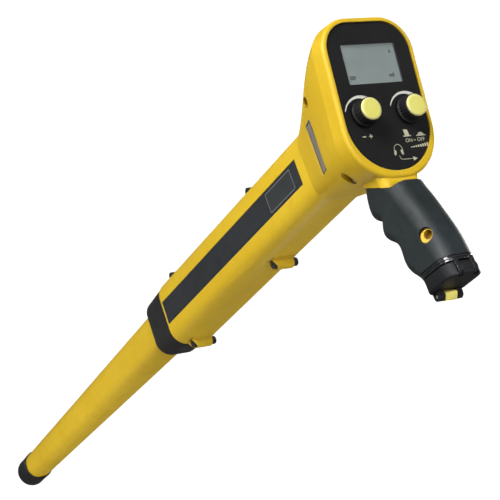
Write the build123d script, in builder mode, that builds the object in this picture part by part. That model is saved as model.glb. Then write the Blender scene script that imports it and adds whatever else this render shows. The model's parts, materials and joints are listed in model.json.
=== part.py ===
"""Hand-held magnetic locator: a tapered sensor wand, a clamshell housing with a
display head and a raked pistol grip.  Millimetres.  Origin at the centre of the
tip's end face, +Z up along the wand to the head, +Y away from the handle,
+X to the right of the person who holds it.  The dimensions below are drawn from
a datum 8.5 mm above that face; keep() sets each part down on the face.
"""
import os
from math import cos, radians, sin, sqrt

from build123d import *

os.makedirs("parts", exist_ok=True)

# ------------------------------------------------------------------ dimensions
wall = 3.0                      # housing wall

# wand
tip_end = -8.5                  # end face of the tip, from the datum
tip_top = 32.0                  # upper edge of the tip cap
tube_tip = 17.9                 # tube half-width inside the tip cap
tube_top_w, tube_top_h = 23.4, 25.2     # tube half-width and half-height at its top
tube_z0, tube_z1 = 8.6, 573.0
tube_wall = 2.2
collar_z0, collar_z1 = 532.0, 575.0

# barrel of the housing
barrel_z0, barrel_z1 = 575.0, 930.0
barrel_w0, barrel_w1 = 28.2, 28.9     # half-widths at both ends
barrel_h = 38.5                 # half-height
barrel_r = 19.5                 # corner radius
strip_z0, strip_z1 = 579.0, 917.0     # side strip
strip_y0, strip_y1 = -12.6, 14.4
strip_depth = 0.8
lug_z = (587.0, 795.0)          # seam lugs
lug_low, lug_high = -42.4, 41.4  # screw axes below and above the barrel
lug_r_low, lug_r_high = 6.0, 4.6
lug_left, lug_right = -13.0, 11.4     # ends of the lower lugs; the upper ones start at the screw heads
nut_r_low, nut_r_high = 4.6, 3.6

# control panel
panel_tilt = 10.55              # degrees towards the handle
lcd = (0.0, 43.2, 1040.0)       # centre of the display, on the display's own surface
panel_w = 46.0                  # half-width
panel_top, panel_bottom = 39.8, -102.4
panel_r_top, panel_r_bottom = 28.0, 45.5
panel_face = 2.4                # face of the panel above the display
panel_t = 2.0
rim = 4.7                       # rim of the head around the panel
rim_low = 7.2                   # and below it
rim_r_low = 46.5
rim_top = 4.0
lcd_w, lcd_h = 58.8, 37.6
knob_x, knob_y = 25.0, -47.5    # knob axes, from the display's centre
knob_r = 11.5
cap_r = 10.4
knob_top = 19.2
push_travel = 1.5

# handle
rake = 17.5                     # degrees
grip_o = (0.0, -70.0, 1002.0)   # a point on the handle's axis
core_w, core_front, core_back, core_r = 16.2, -16.0, 20.5, 14.0
cell_r, cell_len = 12.9, 49.0
cell_bore = 13.4
cell_e = -1.2
lead_e = 6.5                    # wire way beside the cells' axis
ring_y0, ring_y1 = -163.2, -157.9
ring_beads = (-162.0, -159.8)    # middle of each bead
door_y0, door_y1 = -177.5, -164.3
hinge_y, hinge_z = -171.5, 1057.5
hinge_r = 5.0
latch_y, latch_z = -181.6, 1024.0

# side plate on the head's left flank
plate_l, plate_w, plate_y, plate_z = 52.0, 14.0, -2.0, 972.0
flank = 15.2                    # degrees the flank leans out

# ------------------------------------------------------------------ directions
tn, tc = sin(radians(panel_tilt)), cos(radians(panel_tilt))
rn, rc = sin(radians(rake)), cos(radians(rake))
face = Plane(origin=lcd, x_dir=(1, 0, 0), z_dir=(0, -tn, tc))


def tilted(y, z, degrees):
    a = radians(degrees)
    return Plane(origin=(0, y, z), x_dir=(1, 0, 0), z_dir=(0, -sin(a), cos(a)))


def along_grip(s):
    return Plane(
        origin=(0, grip_o[1] - rc * s, grip_o[2] + rn * s),
        x_dir=(1, 0, 0),
        z_dir=(0, -rc, rn),
    )


def on_grip(s, e):
    """(y, z) of a point s along the handle and e behind its axis."""
    return grip_o[1] - rc * s + rn * e, grip_o[2] + rn * s + rc * e


def down(y, z):
    """Plane facing -Y at height y, its local y along +Z, centred on z."""
    return Plane(origin=(0, y, z), x_dir=(1, 0, 0), z_dir=(0, -1, 0))


def outline(plane, half_w, low, high, r_low, r_high):
    """Closed outline with straight sides and round corners."""
    k = 1 - sqrt(0.5)
    w = half_w
    with BuildSketch(plane) as sk:
        with BuildLine():
            Line((-w, low + r_low), (-w, high - r_high))
            ThreePointArc((-w, high - r_high), (-w + k * r_high, high - k * r_high), (-w + r_high, high))
            Line((-w + r_high, high), (w - r_high, high))
            ThreePointArc((w - r_high, high), (w - k * r_high, high - k * r_high), (w, high - r_high))
            Line((w, high - r_high), (w, low + r_low))
            ThreePointArc((w, low + r_low), (w - k * r_low, low + k * r_low), (w - r_low, low))
            Line((w - r_low, low), (-w + r_low, low))
            ThreePointArc((-w + r_low, low), (-w + k * r_low, low + k * r_low), (-w, low + r_low))
        make_face()
    return sk.sketch


def disc(plane, r, at=(0, 0)):
    with BuildSketch(plane) as sk:
        with Locations(at):
            Circle(r)
    return sk.sketch


def slab(plane, w, h, at=(0, 0), r=0.0):
    with BuildSketch(plane) as sk:
        with Locations(at):
            if r:
                RectangleRounded(w, h, r)
            else:
                Rectangle(w, h)
    return sk.sketch


def keep(part, name):
    """Set a part down so that the tip's end face is at z = 0, name it and write it."""
    placed = Pos(0, 0, -tip_end) * part
    placed.label = name
    export_step(placed, "parts/" + name + ".step")


# ------------------------------------------------------------------ outer forms
def barrel_section(z, inset=0.0):
    f = (z - barrel_z0) / (barrel_z1 - barrel_z0)
    w = barrel_w0 + (barrel_w1 - barrel_w0) * f - inset
    h = barrel_h - inset
    return outline(Plane.XY.offset(z), w, -h, h, barrel_r - inset, barrel_r - inset)


def rim_outline(plane, i=0.0):
    return outline(plane, panel_w + rim - i, panel_bottom - rim_low + i, panel_top + rim - i, rim_r_low - i, panel_r_top + rim - i)


def head_sections(i):
    """Sections of the head from the barrel's end to behind the rim, inset by i."""
    return [
        barrel_section(barrel_z1, i),
        outline(tilted(0, 961.5, 5.5), 37.0 - i, -45.5 + i, 55.5 - i, 22 - i, 23 - i),
        outline(tilted(0, 991.0, 8.5), 45.2 - i, -53.0 + i, 78.0 - i, 33 - i, 29 - i),
        rim_outline(face.offset(-14), i),
    ]


with BuildPart() as rim_form:
    extrude(rim_outline(face.offset(-14)), amount=14 + rim_top)
    fillet(rim_form.faces().sort_by(Axis(lcd, (0, -tn, tc)))[-1].edges(), 3.2)

# handle outside: half-width, front, back and corner radius at stations along it
grip_stations = [
    (-52, 23.0, -2.0, 36.0, 16.0),
    (-40, 21.2, -4.0, 32.5, 15.5),
    (-30, 20.2, -6.0, 30.4, 15.0),
    (-22, 19.8, -9.0, 29.4, 15.0),
    (-13, 19.8, -16.0, 29.0, 15.0),
    (-4, 20.0, -22.0, 29.0, 15.0),
    (5, 20.0, -25.6, 29.3, 15.2),
    (18.3, 19.5, -18.6, 29.6, 14.6),
    (34.5, 19.9, -25.0, 30.6, 14.4),
    (50.3, 19.4, -18.0, 31.2, 13.8),
    (72.3, 19.6, -23.4, 31.2, 13.6),
    (89.8, 19.2, -17.5, 29.8, 13.6),
    (100, 19.0, -18.2, 28.2, 13.6),
    (114, 18.8, -18.8, 26.2, 13.6),
    (130, 18.8, -18.8, 25.2, 13.6),
]
with BuildPart() as grip_form:
    loft(sections=[outline(along_grip(s), w, f, b, r, r) for s, w, f, b, r in grip_stations])

# the sleeve meets the housing's neck on a slanted plane; its back runs straight on to a raised end
slant = 45.0
neck_s = -9.5                   # where that plane crosses the handle's axis
sleeve_back_s = 11.5            # raised end at the back


def head_side(gap=0.0):
    """All that lies on the head's side of the sleeve's end, as a prism along X."""
    low, bend, high = -48.0, sleeve_back_s - neck_s, 60.0
    points = [(low + neck_s + gap, low), (bend + neck_s + gap, bend), (sleeve_back_s + gap, high), (-95.0, high), (-95.0, low)]
    with BuildSketch(Plane.YZ.offset(-60)) as sk:
        with BuildLine():
            Polyline(*[on_grip(*p) for p in points], close=True)
        make_face()
    return extrude(sk.sketch, amount=120, mode=Mode.PRIVATE)


def slanted(d):
    """Plane parallel to the sleeve's end, d further into the head; its local y runs up the slant."""
    q = radians(slant)
    y, z = on_grip(neck_s - d * sin(q), d * cos(q))
    ny, nz = rc * sin(q) + rn * cos(q), -rn * sin(q) + rc * cos(q)
    return Plane(origin=(0, y, z), x_dir=(1, 0, 0), z_dir=(0, ny, nz))


# neck: half-width, front, back and corner radii at planes into the head
neck_stations = [
    (-3.0, 21.0, -16.4, 28.0, 13.0, 9.0),
    (1.0, 21.3, -16.4, 26.2, 13.0, 9.0),
    (5.0, 22.2, -16.4, 24.3, 13.0, 9.0),
    (11.0, 25.0, -16.0, 19.8, 13.0, 9.0),
    (18.0, 29.5, -14.0, 14.0, 12.0, 8.0),
    (26.0, 33.0, -10.0, 8.0, 8.0, 6.0),
]
with BuildPart() as neck_form:
    loft(sections=[outline(slanted(d), w, -b, -f, rb, rf) for d, w, f, b, rf, rb in neck_stations])
    add(head_side(), mode=Mode.INTERSECT)

with BuildPart() as outer:
    loft(sections=[barrel_section(barrel_z0), barrel_section(barrel_z1)], ruled=True)
    chamfer(outer.faces().sort_by(Axis.Z)[0].edges(), 1.0)
    loft(sections=head_sections(0.0))
    add(rim_form.part)

core_nose = [(-9.0, core_front - 0.1), (-22.0, -6.2), (-30.0, -3.2), (-60.0, 0.0), (-60.0, -45.0), (-9.0, -45.0)]
with BuildPart() as core_form:
    extrude(outline(along_grip(-48), core_w, core_front, core_back, core_r, core_r), amount=170)
    split(bisect_by=Plane.XZ.offset(-ring_y0), keep=Keep.BOTTOM)
    # its front falls back towards the neck
    with BuildSketch(Plane.YZ.offset(-30)):
        with BuildLine():
            Polyline(*[on_grip(*p) for p in core_nose], close=True)
        make_face()
    extrude(amount=60, mode=Mode.SUBTRACT)

# ------------------------------------------------------------------ housing
head_screw_at = [(-46.0, 992.0), (39.1, 982.9)]
handle_screw_at = on_grip(68, 15.5)
boss_turn = radians(24.0)       # the boss leans back from the left flank
boss_y, boss_z = on_grip(72.0, 23.1)
boss_plane = Plane(
    origin=(-18.4, boss_y, boss_z),
    x_dir=(0, -rc, rn),
    z_dir=(-cos(boss_turn), sin(boss_turn) * rn, sin(boss_turn) * rc),
)
lug_at = [(y, z) for z in lug_z for y in (lug_low, lug_high)]
seat_head = -23.5
seat_handle = 8.0
seat_lug = -5.6

with BuildPart() as boss_form:
    with BuildSketch(Plane.YZ.offset(-60)):
        with Locations(*head_screw_at):
            Circle(7.5)
    extrude(amount=120)
    add(outer.part, mode=Mode.INTERSECT)

with BuildPart() as lug_form:
    for y, z in lug_at:
        r = lug_r_low if y < 0 else lug_r_high
        start = lug_left if y < 0 else seat_lug
        root = 36.5 if y > 0 else -36.5
        knee = y - 0.35 * (y - root)
        with BuildPart(mode=Mode.PRIVATE) as one_lug:
            with BuildSketch(Plane.YZ.offset(start)):
                with Locations((y, z)):
                    Circle(r)
                # ramps that run out into the barrel
                with BuildLine():
                    Polyline((root, z - 13), (root, z + 13), (knee, z + r), (y, z + r), (y, z - r), (knee, z - r), close=True)
                make_face()
            extrude(amount=lug_right - start)
            fillet(one_lug.faces().sort_by(Axis.X)[-1].edges(), 0.8)
        add(one_lug.part)
    # the lower ones are cut off aslant in front of their screw heads
    with BuildSketch(Plane.XY.offset(lug_z[0] - 20)):
        with BuildLine():
            Polyline((-13.6, -40.4), (-13.6, -50.0), (-5.6, -50.0), close=True)
        make_face()
    extrude(amount=lug_z[1] - lug_z[0] + 40, mode=Mode.SUBTRACT)

with BuildPart() as shell:
    add(outer.part)
    add(neck_form.part)
    add(core_form.part)
    add(lug_form.part)
    # hollow of the barrel and the head
    loft(sections=[barrel_section(barrel_z0 - 5, wall), barrel_section(barrel_z1, wall)], ruled=True, mode=Mode.SUBTRACT)
    loft(sections=head_sections(wall), mode=Mode.SUBTRACT)
    extrude(rim_outline(face.offset(-14), wall), amount=9.5, mode=Mode.SUBTRACT)
    # ledge, opening and pocket for the panel
    extrude(outline(face.offset(-6), panel_w - 6, panel_bottom + 6, panel_top - 6, panel_r_bottom - 6, panel_r_top - 6), amount=8, mode=Mode.SUBTRACT)
    extrude(outline(face.offset(panel_face - panel_t - 0.8), panel_w + 0.15, panel_bottom - 0.15, panel_top + 0.15, panel_r_bottom, panel_r_top), amount=8, mode=Mode.SUBTRACT)
    add(boss_form.part)
    # battery bore and the wire way to the head
    extrude(disc(along_grip(-11), cell_bore, (0, cell_e)), amount=140, mode=Mode.SUBTRACT)
    extrude(disc(along_grip(-50), 4.0, (0, lead_e)), amount=44, mode=Mode.SUBTRACT)
    # recesses for the side strips
    with BuildSketch(Plane.YZ.offset(-40)) as strip_sk:
        with Locations(((strip_y0 + strip_y1) / 2, (strip_z0 + strip_z1) / 2)):
            Rectangle(strip_y1 - strip_y0 + 0.2, strip_z1 - strip_z0 + 0.2)
    extrude(amount=40 - barrel_w0 + strip_depth - 0.35, mode=Mode.SUBTRACT)
    with BuildSketch(Plane.YZ.offset(40)):
        with Locations(((strip_y0 + strip_y1) / 2, (strip_z0 + strip_z1) / 2)):
            Rectangle(strip_y1 - strip_y0 + 0.2, strip_z1 - strip_z0 + 0.2)
    extrude(amount=-(40 - barrel_w0 + strip_depth - 0.35), mode=Mode.SUBTRACT)
    # screw ways of the seam lugs
    with BuildSketch(Plane.YZ.offset(-20)):
        with Locations(*lug_at):
            Circle(2.05)
    extrude(amount=40, mode=Mode.SUBTRACT)


plate_plane = Plane(
    origin=(-39.75, plate_y, plate_z),
    x_dir=(0, 1, 0),
    z_dir=(-cos(radians(flank)), 0, -sin(radians(flank))),
)
jack_at = (-40.0, 1012.0)
jack_seat = 42.8
speaker_at = (38.0, 1008.0)

with BuildPart() as housing_left:
    add(shell.part)
    split(bisect_by=Plane.YZ, keep=Keep.BOTTOM)
    # head screws sit deep in round wells
    with BuildSketch(Plane.YZ.offset(-70)):
        with Locations(*head_screw_at):
            Circle(5.5)
    extrude(amount=70 + seat_head, mode=Mode.SUBTRACT)
    with BuildSketch(Plane.YZ.offset(-30)):
        with Locations(*head_screw_at):
            Circle(2.05)
    extrude(amount=31, mode=Mode.SUBTRACT)
    # boss that keeps the sleeve from turning, with the screw's insert behind it
    with BuildPart(mode=Mode.PRIVATE) as grip_boss:
        extrude(disc(boss_plane.offset(-16.0), 7.0), amount=13.0)
        chamfer(grip_boss.faces().sort_by(Axis.X)[0].edges(), 0.6)
    add(grip_boss.part)
    extrude(disc(boss_plane.offset(-2.5), 4.4, (0, 1.7)), amount=-6.5, mode=Mode.SUBTRACT)
    extrude(disc(Plane.YZ.offset(0.5), 2.65, handle_screw_at), amount=-8.1, mode=Mode.SUBTRACT)
    # round pockets for the lug screws' heads
    for at in lug_at:
        extrude(disc(Plane.YZ.offset(-25), 4.9 if at[0] < 0 else 4.65, at), amount=25 + seat_lug, mode=Mode.SUBTRACT)
    extrude(slab(plate_plane.offset(6), plate_l + 0.6, plate_w + 0.6, r=0.8), amount=-7.0, mode=Mode.SUBTRACT)
keep(housing_left.part, "housing_left")

with BuildPart() as housing_right:
    add(shell.part)
    split(bisect_by=Plane.YZ, keep=Keep.TOP)
    with BuildSketch(Plane.YZ):
        with Locations(*head_screw_at):
            Circle(2.65)
    extrude(amount=13.2, mode=Mode.SUBTRACT)
    extrude(disc(Plane.YZ.offset(seat_handle), 4.2, handle_screw_at), amount=22, mode=Mode.SUBTRACT)
    extrude(disc(Plane.YZ.offset(-0.5), 2.05, handle_screw_at), amount=12, mode=Mode.SUBTRACT)
    # room for the lug nuts beside the barrel
    for at in lug_at:
        extrude(disc(Plane.YZ.offset(lug_right), (nut_r_low if at[0] < 0 else nut_r_high) + 0.3, at), amount=14, mode=Mode.SUBTRACT)
    # boss, seat and hole of the headphone socket
    with BuildPart(mode=Mode.PRIVATE) as jack_boss:
        extrude(disc(Plane.YZ.offset(38.2), 9.0, jack_at), amount=20)
        add(outer.part, mode=Mode.INTERSECT)
    add(jack_boss.part)
    extrude(disc(Plane.YZ.offset(jack_seat), 8.2, jack_at), amount=12, mode=Mode.SUBTRACT)
    extrude(disc(Plane.YZ.offset(30), 4.65, jack_at), amount=30, mode=Mode.SUBTRACT)
    # sound holes
    with BuildSketch(Plane.YZ.offset(38)):
        with Locations(speaker_at):
            Circle(1.2)
            with PolarLocations(5.0, 6):
                Circle(1.2)
    extrude(amount=20, mode=Mode.SUBTRACT)
keep(housing_right.part, "housing_right")

# ------------------------------------------------------------------ fasteners
def screw(plane_x, at, head_r, head_h, shank_r, shank):
    """Pan-head screw along +X, head seated at plane_x."""
    extrude(disc(Plane.YZ.offset(plane_x - head_h), head_r, at), amount=head_h)
    extrude(disc(Plane.YZ.offset(plane_x - head_h), 1.5, at), amount=1.4, mode=Mode.SUBTRACT)
    extrude(disc(Plane.YZ.offset(plane_x), shank_r, at), amount=shank)


with BuildPart() as lug_screws:
    for at in lug_at:
        screw(seat_lug, at, 4.4, 5.6, 1.95, 20.2)
keep(lug_screws.part, "lug_screws")

with BuildPart() as lug_nuts:
    for at in lug_at:
        with BuildPart(mode=Mode.PRIVATE) as one_nut:
            extrude(disc(Plane.YZ.offset(lug_right), nut_r_low if at[0] < 0 else nut_r_high, at), amount=6.6)
            fillet(one_nut.faces().sort_by(Axis.X)[-1].edges(), 2.2)
            extrude(disc(Plane.YZ.offset(lug_right), 2.0, at), amount=3.5, mode=Mode.SUBTRACT)
        add(one_nut.part)
keep(lug_nuts.part, "lug_nuts")

with BuildPart() as case_screws:
    for at in head_screw_at:
        screw(seat_head, at, 4.4, 2.8, 1.95, 34.5)
keep(case_screws.part, "case_screws")

with BuildPart() as case_inserts:
    for at in head_screw_at:
        extrude(disc(Plane.YZ.offset(0.4), 2.6, at), amount=12.4)
        extrude(disc(Plane.YZ.offset(0.0), 1.97, at), amount=14, mode=Mode.SUBTRACT)
keep(case_inserts.part, "case_inserts")

with BuildPart() as handle_screw:
    extrude(disc(Plane.YZ.offset(seat_handle), 3.7, handle_screw_at), amount=2.8)
    extrude(disc(Plane.YZ.offset(seat_handle + 2.8), 1.5, handle_screw_at), amount=-1.4, mode=Mode.SUBTRACT)
    extrude(disc(Plane.YZ.offset(seat_handle), 1.95, handle_screw_at), amount=-14.5)
keep(handle_screw.part, "handle_screw")

with BuildPart() as handle_insert:
    extrude(disc(Plane.YZ.offset(-0.4), 2.6, handle_screw_at), amount=-6.8)
    extrude(disc(Plane.YZ.offset(0.0), 1.97, handle_screw_at), amount=-14, mode=Mode.SUBTRACT)
keep(handle_insert.part, "handle_insert")

# ------------------------------------------------------------------ wand
def tube_size(z):
    f = (z - tube_z0) / (tube_z1 - tube_z0)
    return tube_tip + (tube_top_w - tube_tip) * f, tube_tip + (tube_top_h - tube_tip) * f


def tube_section(z, inset=0.0):
    w, h = tube_size(z)
    f = (z - tube_z0) / (tube_z1 - tube_z0)
    r = 15.6 - 1.6 * f - inset
    return outline(Plane.XY.offset(z), w - inset, -h + inset, h - inset, r, r)


with BuildPart() as wand_tube:
    loft(sections=[tube_section(tube_z0), tube_section(tube_z1)], ruled=True)
    loft(sections=[tube_section(tube_z0 - 1, tube_wall), tube_section(tube_z1 + 1, tube_wall)], ruled=True, mode=Mode.SUBTRACT)
keep(wand_tube.part, "wand_tube")

with BuildPart() as collar:
    loft(
        sections=[
            outline(Plane.XY.offset(collar_z0), 27.2, -34.4, 34.4, 18.0, 18.0),
            outline(Plane.XY.offset(collar_z1 - 0.3), 27.5, -37.6, 37.6, 18.8, 18.8),
        ],
        ruled=True,
    )
    fillet(collar.faces().sort_by(Axis.Z)[0].edges(), 1.2)
    extrude(outline(Plane.XY.offset(collar_z1 - 0.3), 25.0, -35.2, 35.2, 16.2, 16.2), amount=18)
    loft(sections=[tube_section(collar_z0 - 2, -0.1), tube_section(tube_z1 + 0.2, -0.1)], ruled=True, mode=Mode.SUBTRACT)
    extrude(outline(Plane.XY.offset(tube_z1 - 1), 21.0, -23.0, 23.0, 16.0, 16.0), amount=30, mode=Mode.SUBTRACT)
keep(collar.part, "collar")

with BuildPart() as tip_cap:
    with BuildSketch(Plane.XZ):
        with BuildLine():
            Line((0, tip_end), (13.2, tip_end))
            RadiusArc((13.2, tip_end), (20.3, tip_end + 7.1), -7.1)
            Polyline((20.3, tip_end + 7.1), (20.5, 25.6), (20.0, 26.0), (20.0, 27.2), (20.85, 27.7), (20.85, 31.3), (20.3, tip_top), (19.45, tip_top), (19.45, 8.2), (0, 8.2), (0, tip_end))
        make_face()
    revolve(axis=Axis.Z)
keep(tip_cap.part, "tip_cap")

with BuildPart() as sensor_tube:
    extrude(disc(Plane.XY.offset(14), 9.0), amount=866)
    extrude(disc(Plane.XY.offset(14), 7.8), amount=866, mode=Mode.SUBTRACT)
keep(sensor_tube.part, "sensor_tube")

with BuildPart() as sensor_coils:
    for z in (20, 560):
        extrude(disc(Plane.XY.offset(z), 7.6), amount=6)
        extrude(disc(Plane.XY.offset(z + 6), 6.4), amount=58)
        extrude(disc(Plane.XY.offset(z + 64), 7.6), amount=6)
keep(sensor_coils.part, "sensor_coils")

with BuildPart() as tube_spacers:
    for z in (60, 290, 520):
        extrude(disc(Plane.XY.offset(z), tube_size(z)[0] - tube_wall - 0.3), amount=16)
        extrude(disc(Plane.XY.offset(z), 9.05), amount=16, mode=Mode.SUBTRACT)
keep(tube_spacers.part, "tube_spacers")

with BuildPart() as tube_bracket:
    extrude(barrel_section(862, wall + 0.25), amount=5)
    extrude(disc(Plane.XY.offset(862), 9.05), amount=5, mode=Mode.SUBTRACT)
    with BuildSketch(Plane.XY.offset(862)):
        with Locations((0, 24), (0, -24)):
            SlotOverall(20, 9)
    extrude(amount=5, mode=Mode.SUBTRACT)
keep(tube_bracket.part, "tube_bracket")

# ------------------------------------------------------------------ strips and plates
strip_x = barrel_w0 - strip_depth + 0.35     # bottom of the recess
strip_mid = ((strip_y0 + strip_y1) / 2, (strip_z0 + strip_z1) / 2)
with BuildPart() as side_strip_left:
    extrude(slab(Plane.YZ.offset(-strip_x), strip_y1 - strip_y0, strip_z1 - strip_z0, strip_mid, 0.6), amount=-0.4)
keep(side_strip_left.part, "side_strip_left")
with BuildPart() as side_strip_right:
    extrude(slab(Plane.YZ.offset(strip_x), strip_y1 - strip_y0, strip_z1 - strip_z0, strip_mid, 0.6), amount=0.4)
keep(side_strip_right.part, "side_strip_right")
with BuildPart() as strip_patch:
    extrude(slab(Plane.YZ.offset(-strip_x - 0.4), 22.0, 55.0, (1.1, 875.8), 1.5), amount=-0.2)
keep(strip_patch.part, "strip_patch")
with BuildPart() as side_plate:
    extrude(slab(plate_plane.offset(-1.0), plate_l, plate_w, r=0.6), amount=0.7)
keep(side_plate.part, "side_plate")

# ------------------------------------------------------------------ panel and display
with BuildPart() as panel:
    extrude(outline(face.offset(panel_face - panel_t), panel_w, panel_bottom, panel_top, panel_r_bottom, panel_r_top), amount=panel_t)
    fillet(panel.faces().sort_by(Axis(lcd, (0, -tn, tc)))[-1].edges(), 0.5)
    extrude(slab(face.offset(0), lcd_w + 1.0, lcd_h + 1.0, r=1.6), amount=4, mode=Mode.SUBTRACT)
    with BuildSketch(face.offset(0)):
        with Locations((-knob_x, knob_y), (knob_x, knob_y)):
            Circle(3.6)
    extrude(amount=4, mode=Mode.SUBTRACT)
keep(panel.part, "panel")

gasket_n = panel_face - panel_t - 0.8
with BuildPart() as panel_gasket:
    extrude(outline(face.offset(gasket_n), panel_w - 0.4, panel_bottom + 0.4, panel_top - 0.4, panel_r_bottom - 0.4, panel_r_top - 0.4), amount=0.75)
    extrude(outline(face.offset(gasket_n), panel_w - 5.5, panel_bottom + 5.5, panel_top - 5.5, panel_r_bottom - 5.5, panel_r_top - 5.5), amount=0.75, mode=Mode.SUBTRACT)
keep(panel_gasket.part, "panel_gasket")

with BuildPart() as display_window:
    extrude(slab(face.offset(0.9), lcd_w + 0.8, lcd_h + 0.8, r=1.5), amount=0.9)
keep(display_window.part, "display_window")
with BuildPart() as display_glass:
    extrude(slab(face.offset(-2.2), 64, 43, r=0.5), amount=2.2)
keep(display_glass.part, "display_glass")
with BuildPart() as display_board:
    extrude(slab(face.offset(-4.0), 72, 50, r=1.5), amount=1.6)
keep(display_board.part, "display_board")

# ------------------------------------------------------------------ knobs
def knob_plane(x):
    return Plane(origin=face.from_local_coords((x, knob_y, 0)), x_dir=(1, 0, 0), z_dir=face.z_dir)


def turned(x, points):
    """Solid of revolution about the knob axis at x from (radius, height) points."""
    o = face.from_local_coords((x, knob_y, 0))
    side = Plane(origin=o, x_dir=(1, 0, 0), z_dir=Vector(1, 0, 0).cross(face.z_dir))
    with BuildSketch(side) as sk:
        with BuildLine():
            Polyline(*points, close=True)
        make_face()
    revolve(sk.sketch, axis=Axis(o, face.z_dir))


knob_profile = [
    (6.8, 5.7), (13.0, 5.7), (13.0, 6.6), (12.4, 7.3), (11.7, 7.6), (11.3, 16.6), (10.9, 17.0), (4.1, 17.0), (4.1, 15.2),
    (2.5, 15.2), (2.5, 6.4), (6.8, 6.4),
]
cap_profile = [(0, 15.3), (4.0, 15.3), (4.0, 17.05), (cap_r - 0.25, 17.05), (cap_r, 17.3), (cap_r, 18.5), (cap_r - 0.5, 19.05), (cap_r - 1.2, knob_top), (0, knob_top)]
pot_body = [(2.56, -16.0), (8.4, -16.0), (8.4, -8.4), (8.0, -8.0), (3.5, -8.0), (3.5, 3.9), (2.56, 3.9)]


def make_knob(x):
    turned(x, knob_profile)
    with BuildSketch(knob_plane(x).offset(7.8)) as flutes:
        with PolarLocations(12.0, 24):
            Circle(0.95)
    extrude(flutes.sketch, amount=12, mode=Mode.SUBTRACT)


def make_nut(x):
    with BuildSketch(knob_plane(x).offset(2.45)) as hexagon:
        RegularPolygon(5.9, 6)
        Circle(3.52, mode=Mode.SUBTRACT)
    extrude(hexagon.sketch, amount=1.7)


with BuildPart() as gain_knob:
    make_knob(-knob_x)
keep(gain_knob.part, "gain_knob")
with BuildPart() as gain_knob_cap:
    turned(-knob_x, cap_profile)
keep(gain_knob_cap.part, "gain_knob_cap")
with BuildPart() as gain_shaft:
    extrude(disc(knob_plane(-knob_x).offset(-15.0), 2.48), amount=30.0)
keep(gain_shaft.part, "gain_shaft")
with BuildPart() as gain_control:
    turned(-knob_x, pot_body)
    extrude(disc(knob_plane(-knob_x).offset(-17.2), 8.4), amount=1.2)
keep(gain_control.part, "gain_control")
with BuildPart() as gain_nut:
    make_nut(-knob_x)
keep(gain_nut.part, "gain_nut")

with BuildPart() as volume_knob:
    make_knob(knob_x)
keep(volume_knob.part, "volume_knob")
with BuildPart() as volume_knob_cap:
    turned(knob_x, cap_profile)
keep(volume_knob_cap.part, "volume_knob_cap")
with BuildPart() as volume_shaft:
    extrude(disc(knob_plane(knob_x).offset(-15.9), 2.48), amount=30.9)
keep(volume_shaft.part, "volume_shaft")
with BuildPart() as volume_control:
    turned(knob_x, pot_body)
keep(volume_control.part, "volume_control")
with BuildPart() as volume_nut:
    make_nut(knob_x)
keep(volume_nut.part, "volume_nut")
with BuildPart() as volume_plunger:
    extrude(disc(knob_plane(knob_x).offset(-23.5), 1.9), amount=7.5)
keep(volume_plunger.part, "volume_plunger")
with BuildPart() as volume_switch:
    extrude(slab(knob_plane(knob_x).offset(-27.4), 13, 13, r=1.0), amount=11.3)
    extrude(disc(knob_plane(knob_x).offset(-25.6), 2.0), amount=12, mode=Mode.SUBTRACT)
    extrude(disc(knob_plane(knob_x).offset(-18.4), 2.7), amount=4, mode=Mode.SUBTRACT)
keep(volume_switch.part, "volume_switch")

# ------------------------------------------------------------------ electronics
board_n = -37.6
pillar_at = [(-26, -32.5), (26, -32.5), (-21, -66), (21, -66)]
with BuildPart() as main_board:
    extrude(slab(face.offset(board_n), 60, 92, (0, -26), 4.0), amount=1.6)
    with BuildSketch(face.offset(board_n)):
        with Locations(*pillar_at):
            Circle(1.6)
    extrude(amount=1.6, mode=Mode.SUBTRACT)
keep(main_board.part, "main_board")
with BuildPart() as board_pillars:
    for at in pillar_at:
        with BuildSketch(face.offset(board_n + 1.65)):
            with Locations(at):
                RegularPolygon(3.2, 6)
                Circle(1.55, mode=Mode.SUBTRACT)
        extrude(amount=36.2)
keep(board_pillars.part, "board_pillars")
with BuildPart() as board_screws:
    for at in pillar_at:
        extrude(disc(face.offset(board_n - 2.05), 2.8, at), amount=2.0)
        extrude(disc(face.offset(board_n - 0.05), 1.5, at), amount=9)
keep(board_screws.part, "board_screws")
with BuildPart() as board_chips:
    for at, w, h, t in (((-12, -8), 18, 18, 2.2), ((13, -12), 14, 9, 1.8), ((14, -50), 12, 20, 3.0), ((-13, -48), 9, 9, 5.0)):
        extrude(slab(face.offset(board_n - 0.05), w, h, at), amount=-t)
keep(board_chips.part, "board_chips")

with BuildPart() as speaker:
    extrude(disc(Plane.YZ.offset(31.6), 8.5, speaker_at), amount=4)
    extrude(disc(Plane.YZ.offset(35.6), 12.5, speaker_at), amount=5.2)
    extrude(disc(Plane.YZ.offset(39.6), 10.6, speaker_at), amount=2, mode=Mode.SUBTRACT)
keep(speaker.part, "speaker")

with BuildPart() as headphone_jack:
    extrude(slab(Plane.YZ.offset(20), 10, 12, jack_at, 1.0), amount=12.0)
    extrude(disc(Plane.YZ.offset(31.9), 4.55, jack_at), amount=13.7)
    extrude(disc(Plane.YZ.offset(23), 3.2, jack_at), amount=30, mode=Mode.SUBTRACT)
keep(headphone_jack.part, "headphone_jack")
with BuildPart() as jack_nut:
    with BuildSketch(Plane.YZ.offset(jack_seat + 0.05)):
        with Locations(jack_at):
            RegularPolygon(7.4, 6)
            Circle(4.57, mode=Mode.SUBTRACT)
    extrude(amount=2.2)
keep(jack_nut.part, "jack_nut")

with BuildPart() as sensor_lead:
    extrude(disc(Plane.XY.offset(870), 1.6), amount=122)
keep(sensor_lead.part, "sensor_lead")

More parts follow.
